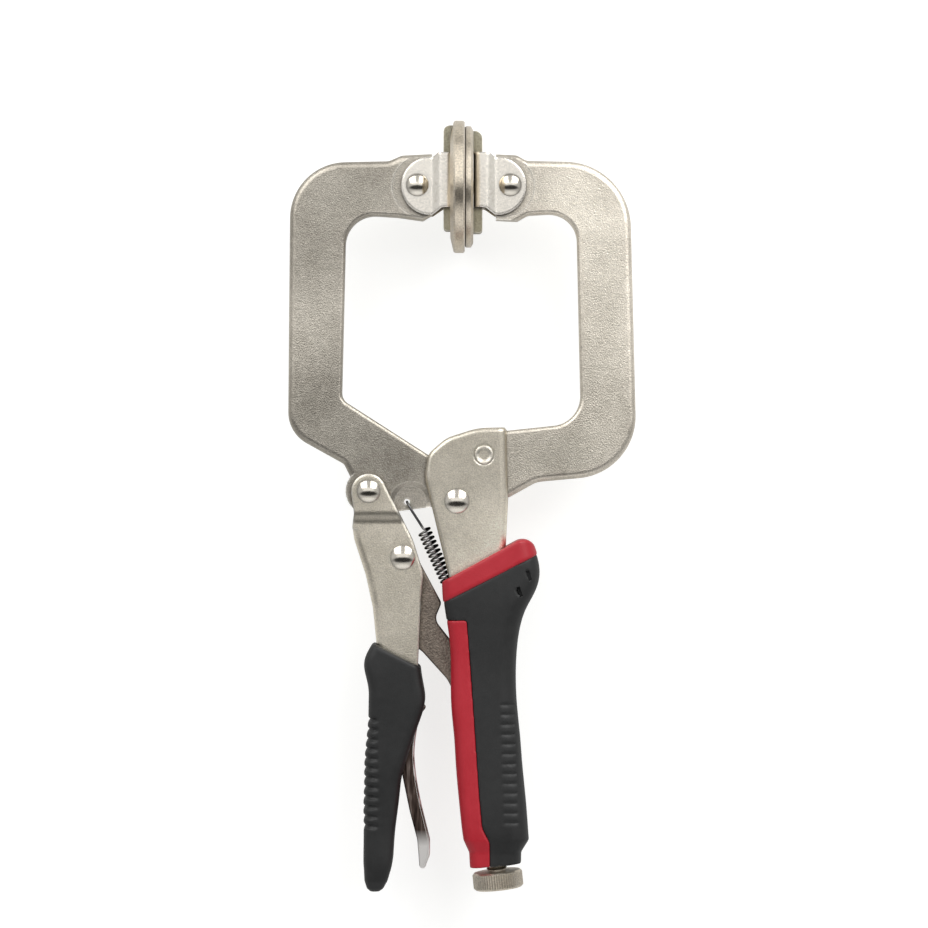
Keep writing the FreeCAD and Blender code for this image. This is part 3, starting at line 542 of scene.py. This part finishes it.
# Painted light and shade: the coils are painted lit along the middle of the coil and black with shade at its sides
wire_look, wire_tree, wire_shader = new_look("spring_wire", 1.0, Roughness=0.30)
wire_where = wire_tree.nodes.new("ShaderNodeTexCoord")
wire_from = wire_tree.nodes.new("ShaderNodeVectorMath")
wire_from.operation = "SUBTRACT"
wire_from.inputs[1].default_value = coil_top
wire_across = wire_tree.nodes.new("ShaderNodeVectorMath")
wire_across.operation = "DOT_PRODUCT"
wire_across.inputs[1].default_value = coil_side
wire_tree.links.new(wire_where.outputs["Object"], wire_from.inputs[0])
wire_tree.links.new(wire_from.outputs["Vector"], wire_across.inputs[0])
wire_reach = coil_radius + wire_radius
wire_place = span(wire_tree, wire_across.outputs["Value"], -wire_reach, wire_reach, 0.0, 1.0)
coil_side_shade = (0.006, 0.006, 0.007)
wire_colour = colour_steps(wire_tree, wire_place,
                           [(0.16, coil_side_shade), (0.34, (0.42, 0.41, 0.40)), (0.50, (0.44, 0.43, 0.42)), (0.66, coil_side_shade)])
wire_along = wire_tree.nodes.new("ShaderNodeVectorMath")
wire_along.operation = "DOT_PRODUCT"
wire_along.inputs[1].default_value = coil_line
wire_tree.links.new(wire_from.outputs["Vector"], wire_along.inputs[0])
# The straight part above the coil is plain dark wire
wire_straight = span(wire_tree, wire_along.outputs["Value"], -0.0016, -0.0006, 1.0, 0.0)
wire_colour = mix_colours(wire_tree, wire_straight, wire_colour, (0.13, 0.13, 0.13))
wire_tree.links.new(wire_colour, wire_shader.inputs["Base Color"])
return_spring.data.materials.clear()
return_spring.data.materials.append(wire_look)
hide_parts("spring")
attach(return_spring, "frame")
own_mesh(return_spring)
pin_look = plated("dark_pins", dark=(0.16, 0.15, 0.14), light=(0.30, 0.28, 0.26), edge_wear_and_light=(0.5, 0.48, 0.45),
                  rough=(0.30, 0.45), grains=2000.0, depth=0.00003, edge=0.0004)
dress(pin_look, "handle_end_nut", "release_lever_pin", "spring_anchor_pin")


# Release lever
# A folded strip whose edges and tip carry painted highlights, and whose tail is pressed towards the lever to let the
# clamp go.
strip_look, strip_tree, strip_shader = new_look("release_strip", 1.0, Roughness=0.42)
strip_where = strip_tree.nodes.new("ShaderNodeTexCoord")
strip_flow = strip_tree.nodes.new("ShaderNodeMapping")
strip_flow.inputs["Scale"].default_value = (1.0, 0.12, 1.0)
strip_flow.inputs["Rotation"].default_value = (0, 0, math.radians(-11))
streaks = add_node(strip_tree, "ShaderNodeTexNoise", Scale=900.0, Detail=2.0)
strip_parts = strip_tree.nodes.new("ShaderNodeSeparateXYZ")
strip_tree.links.new(strip_where.outputs["Object"], strip_flow.inputs["Vector"])
strip_tree.links.new(strip_flow.outputs["Vector"], streaks.inputs["Vector"])
strip_tree.links.new(strip_where.outputs["Object"], strip_parts.inputs["Vector"])
strip_dark = colour_steps(strip_tree, streaks.outputs["Fac"],
                          [(0.36, (0.035, 0.024, 0.020)), (0.56, (0.12, 0.085, 0.07)), (0.70, (0.30, 0.24, 0.21))])
# Painted highlight: the tail's bent tip is painted bright, from these two places along Y
tip_start, tip_full = -0.1095, -0.1150
strip_tip_highlight = span(strip_tree, strip_parts.outputs["Y"], tip_start, tip_full, 0.0, 1.0)
strip_colour = mix_colours(strip_tree, strip_tip_highlight, strip_dark, (0.97, 0.94, 0.90))
strip_tree.links.new(strip_colour, strip_shader.inputs["Base Color"])
dress(strip_look, "release_lever")

# The strip's outer edges are rolled over into beads, coloured bright as a painted highlight
bead_highlight_look = plated("release_bead", dark=(0.84, 0.77, 0.73), light=(0.97, 0.92, 0.88), edge_wear_and_light=(0.97, 0.94, 0.9),
                   rough=(0.34, 0.42), grains=1500.0, depth=0.00001, edge=0.0003, fleck=0.9)
# Their line from the main pivot, in mm
bead_line = [(-13.4, -73.5), (-15.2, -82.0), (-14.75, -91.5), (-12.95, -101.6), (-11.2, -108.5), (-9.75, -114.7),
             (-9.8, -119.4), (-11.3, -122.9)]
bead_radius = 0.00062
bead_height = 0.0019
for side_name, level in (("top", bead_height), ("bottom", -bead_height)):
    bpy.ops.curve.primitive_nurbs_path_add(location=(0, 0, 0))
    bead = bpy.context.object
    bead.name = "release_bead_" + side_name
    spline = bead.data.splines[0]
    spline.points.add(len(bead_line) - len(spline.points))
    for point, (x, y) in zip(spline.points, bead_line):
        place = main_pivot + Vector((x / 1000, y / 1000, level))
        point.co = (*place, 1)
    spline.order_u = 3
    spline.use_endpoint_u = True
    spline.resolution_u = 8
    bead.data.bevel_depth = bead_radius
    bead.data.bevel_resolution = 4
    bead.data.use_fill_caps = True
    bpy.ops.object.convert(target="MESH")
    bpy.ops.object.shade_smooth()
    bead.data.materials.clear()
    bead.data.materials.append(bead_highlight_look)
    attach(bead, "release")


# Adjusting screw
# A plated screw whose straight-knurled head stands at the handle's end.
screw_look = plated("screw_plate", dark=(0.66, 0.58, 0.46), light=(0.88, 0.79, 0.65), edge_wear_and_light=(0.84, 0.79, 0.70),
                    rough=(0.30, 0.42), grains=2000.0, depth=0.00004, edge=0.0004)
dress(screw_look, "adjusting_screw")


# Cushions of the handles
# Soft rubber sleeves moulded over the channels: black with a red collar and a red inner side on the handle.
# Each is one skin with rounded lips, so that the seams between the colours read as shallow grooves.
def soft_sleeve(name, node, body, look, rounds, puff=0.0):
    # The plain solid's own shape as an even net, with its edges rounded off, and swollen a little if puff says so
    piece = bpy.data.objects.new(name, nodes[node].data.copy())
    scene.collection.objects.link(piece)
    bpy.ops.object.select_all(action="DESELECT")
    bpy.context.view_layer.objects.active = piece
    piece.select_set(True)
    bpy.ops.object.mode_set(mode="EDIT")
    bpy.ops.mesh.select_all(action="SELECT")
    bpy.ops.mesh.remove_doubles(threshold=1e-6)
    bpy.ops.object.mode_set(mode="OBJECT")
    even = piece.modifiers.new("even_net", "REMESH")
    even.mode = "VOXEL"
    even.voxel_size = 0.0004
    bpy.ops.object.modifier_apply(modifier=even.name)
    soft = piece.modifiers.new("soft_edges", "SMOOTH")
    soft.factor = 0.5
    soft.iterations = rounds
    bpy.ops.object.modifier_apply(modifier=soft.name)
    if puff:
        bpy.ops.object.mode_set(mode="EDIT")
        bpy.ops.mesh.select_all(action="SELECT")
        bpy.ops.transform.shrink_fatten(value=puff)
        bpy.ops.object.mode_set(mode="OBJECT")
    bpy.ops.object.shade_smooth()
    piece.data.materials.clear()
    piece.data.materials.append(look)
    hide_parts(node)
    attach(piece, body)
    return piece


def rubber(name, dark, light, rough):
    # Moulded rubber with a fine matte grain
    look, tree, shader = new_look(name, 0.0, Specular_IOR_Level=0.4)
    grain = tree.nodes.new("ShaderNodeGroup")
    grain.node_tree = plate_grain
    grain.inputs["Grains per metre"].default_value = 2400.0
    colour = colour_steps(tree, grain.outputs["Patches"], [(0.45, dark), (0.95, light)])
    tree.links.new(colour, shader.inputs["Base Color"])
    tree.links.new(span(tree, grain.outputs["Patches"], 0.4, 1.0, rough[0], rough[1]), shader.inputs["Roughness"])
    bump(tree, shader, grain.outputs["Height"], 0.00005, 0.5)
    return look


black_look = rubber("black_rubber", dark=(0.009, 0.0092, 0.009), light=(0.017, 0.0172, 0.0168), rough=(0.44, 0.58))
red_look = rubber("red_rubber", dark=(0.35, 0.010, 0.019), light=(0.41, 0.016, 0.028), rough=(0.36, 0.48))
soft_sleeve("grip_collar", "handle_collar", "frame", red_look, rounds=6, puff=0.0003)
soft_sleeve("grip_stripe", "handle_stripe", "frame", red_look, rounds=5)
grip_back = soft_sleeve("grip_back", "handle_grip", "frame", black_look, rounds=5)
soft_sleeve("lever_sleeve", "lever_grip", "lever", black_look, rounds=4)


# Two slanted slots near the top of the handle's back, on each face: place from the main pivot in mm, and lean
slot_places = [(24.2, -25.0, 17), (21.1, -30.4, 20)]
slot_width, slot_length, cutter_height = 0.0010, 0.0034, 0.004
slot_floor = 0.0085
for x, y, lean in slot_places:
    for face in (1, -1):
        place = main_pivot + Vector((x / 1000, y / 1000, face * (slot_floor + cutter_height / 2)))
        bpy.ops.mesh.primitive_cube_add(size=1, location=place, rotation=(0, 0, math.radians(lean)))
        cutter = bpy.context.object
        cutter.name = "slot_cutter"
        cutter.scale = (slot_width, slot_length, cutter_height)
        bpy.ops.object.transform_apply(location=False, rotation=False, scale=True)
        bpy.ops.object.select_all(action="DESELECT")
        bpy.context.view_layer.objects.active = grip_back
        grip_back.select_set(True)
        cut = grip_back.modifiers.new("slot", "BOOLEAN")
        cut.operation = "DIFFERENCE"
        cut.solver = "EXACT"
        cut.object = cutter
        bpy.ops.object.modifier_apply(modifier=cut.name)
        bpy.data.objects.remove(cutter)
